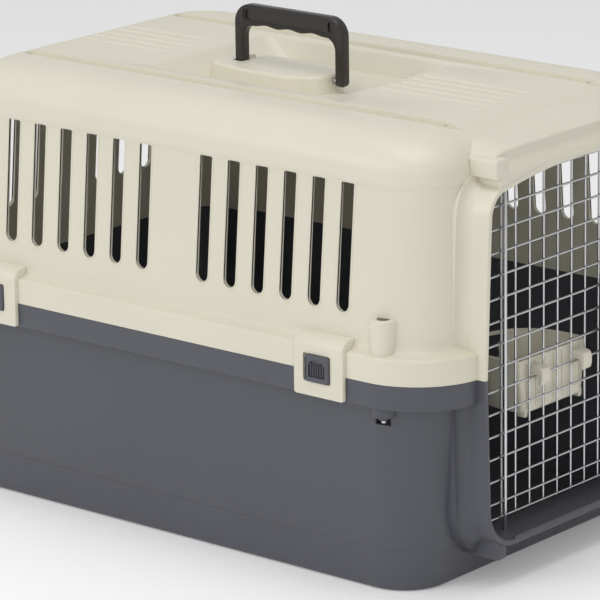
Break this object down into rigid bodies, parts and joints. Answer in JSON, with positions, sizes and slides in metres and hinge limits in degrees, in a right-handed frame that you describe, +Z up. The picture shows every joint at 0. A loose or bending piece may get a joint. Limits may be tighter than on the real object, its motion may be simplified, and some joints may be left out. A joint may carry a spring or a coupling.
{
  "type": "pet transport carrier",
  "caption": "Two-part plastic pet carrier with a wire grid door, squeeze latch, folding carry handle, slide latches on the sides and a bowl hung inside the door.",
  "frame": {"origin": "centre of the bounding box's footprint, on the underside of the base", "axes": "+X out of the door, +Y to the left of someone looking out of the door, +Z up"},
  "size_m": [0.765, 0.517, 0.5625],
  "materials": {
    "cream_plastic": "fine moulded grain, satin",
    "slate_plastic": "fine moulded grain, satin",
    "charcoal_plastic": "smooth, semi-gloss",
    "zinc_wire": "bright zinc plate",
    "plated_steel": "zinc plate"
  },
  "bodies": {
    "lower_body": {"bottom_shell": "slate_plastic", "corner_nut_front_left": "slate_plastic", "corner_nut_front_right": "slate_plastic", "corner_nut_rear_left": "slate_plastic", "corner_nut_rear_right": "slate_plastic"},
    "upper_body": {"top_shell": "cream_plastic", "corner_bolt_front_left": "plated_steel", "corner_bolt_front_right": "plated_steel", "corner_bolt_rear_left": "plated_steel", "corner_bolt_rear_right": "plated_steel", "handle_pin_front": "plated_steel", "handle_pin_rear": "plated_steel"},
    "carry_handle": {"handle": "charcoal_plastic"},
    "door": {"door_grid": "zinc_wire", "door_grid_top": "zinc_wire", "door_hinge_rod": "zinc_wire", "latch_housing": "slate_plastic", "latch_spring": "plated_steel"},
    "upper_bolt": {"upper_latch_bolt": "zinc_wire", "upper_finger_pull": "slate_plastic"},
    "lower_bolt": {"lower_latch_bolt": "zinc_wire", "lower_finger_pull": "slate_plastic"},
    "bowl": {"feeding_bowl": "cream_plastic"},
    "slider_front_left": {"latch_slider_front_left": "slate_plastic"},
    "slider_front_right": {"latch_slider_front_right": "slate_plastic"},
    "slider_rear_left": {"latch_slider_rear_left": "slate_plastic"},
    "slider_rear_right": {"latch_slider_rear_right": "slate_plastic"}
  },
  "joints": [
    {"name": "top_lift", "type": "slide", "parent": "lower_body", "child": "upper_body", "axis": [0, 0, 1], "range_m": [0, 0.3]},
    {"name": "door_swing", "type": "hinge", "parent": "lower_body", "child": "door", "pos_m": [0.3545, -0.1, 0.25], "axis": [0, 0, -1], "range_deg": [0, 120]},
    {"name": "upper_bolt_slide", "type": "slide", "parent": "door", "child": "upper_bolt", "axis": [0, 0, -1], "range_m": [0, 0.012], "stiffness_N_per_m": 200, "springref_m": -0.008, "deforming": ["latch_spring"]},
    {"name": "lower_bolt_slide", "type": "slide", "parent": "door", "child": "lower_bolt", "axis": [0, 0, 1], "range_m": [0, 0.012], "stiffness_N_per_m": 200, "springref_m": -0.008},
    {"name": "bowl_lift", "type": "slide", "parent": "door", "child": "bowl", "axis": [0, 0, 1], "range_m": [0, 0.0105]},
    {"name": "handle_fold", "type": "hinge", "parent": "upper_body", "child": "carry_handle", "pos_m": [-0.0235, 0, 0.489], "axis": [-1, 0, 0], "range_deg": [0, 88]},
    {"name": "slider_front_left_slide", "type": "slide", "parent": "upper_body", "child": "slider_front_left", "axis": [-1, 0, 0], "range_m": [0, 0.004]},
    {"name": "slider_front_right_slide", "type": "slide", "parent": "upper_body", "child": "slider_front_right", "axis": [-1, 0, 0], "range_m": [0, 0.004]},
    {"name": "slider_rear_left_slide", "type": "slide", "parent": "upper_body", "child": "slider_rear_left", "axis": [-1, 0, 0], "range_m": [0, 0.004]},
    {"name": "slider_rear_right_slide", "type": "slide", "parent": "upper_body", "child": "slider_rear_right", "axis": [-1, 0, 0], "range_m": [0, 0.004]}
  ],
  "couplings": [
    {"joint": "lower_bolt_slide", "follows": "upper_bolt_slide", "ratio": 1}
  ]
}
